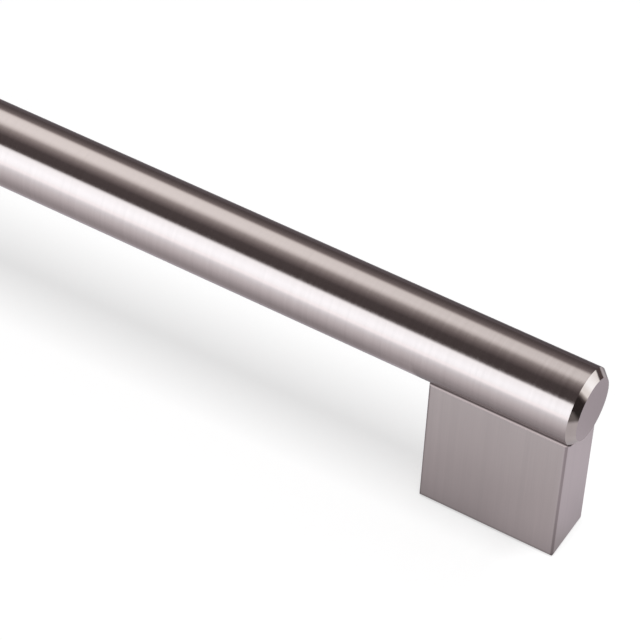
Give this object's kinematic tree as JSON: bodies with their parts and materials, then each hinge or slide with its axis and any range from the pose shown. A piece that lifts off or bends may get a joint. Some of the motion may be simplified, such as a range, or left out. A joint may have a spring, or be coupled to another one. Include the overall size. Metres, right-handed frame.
{
  "type": "bridge pull handle",
  "caption": "Round brushed-metal bar pull with chamfered ends, held on rectangular block legs with saddle seats and threaded bases.",
  "frame": {"origin": "on the door face, halfway between the axes of the two legs' threads", "axes": "+X along the bar, +Z away from the door, +Y across the bar"},
  "size_m": [0.1886, 0.014, 0.0395],
  "materials": {
    "bar_metal": "fine brushed, polished end chamfers",
    "leg_metal": "fine brushed",
    "screw_metal": "plated",
    "bush_metal": "turned"
  },
  "bodies": {
    "root": {"bar": "bar_metal", "leg_left": "leg_metal", "leg_right": "leg_metal", "joining_screw_left": "screw_metal", "joining_screw_right": "screw_metal", "thread_bush_left": "bush_metal", "thread_bush_right": "bush_metal"}
  },
  "joints": []
}
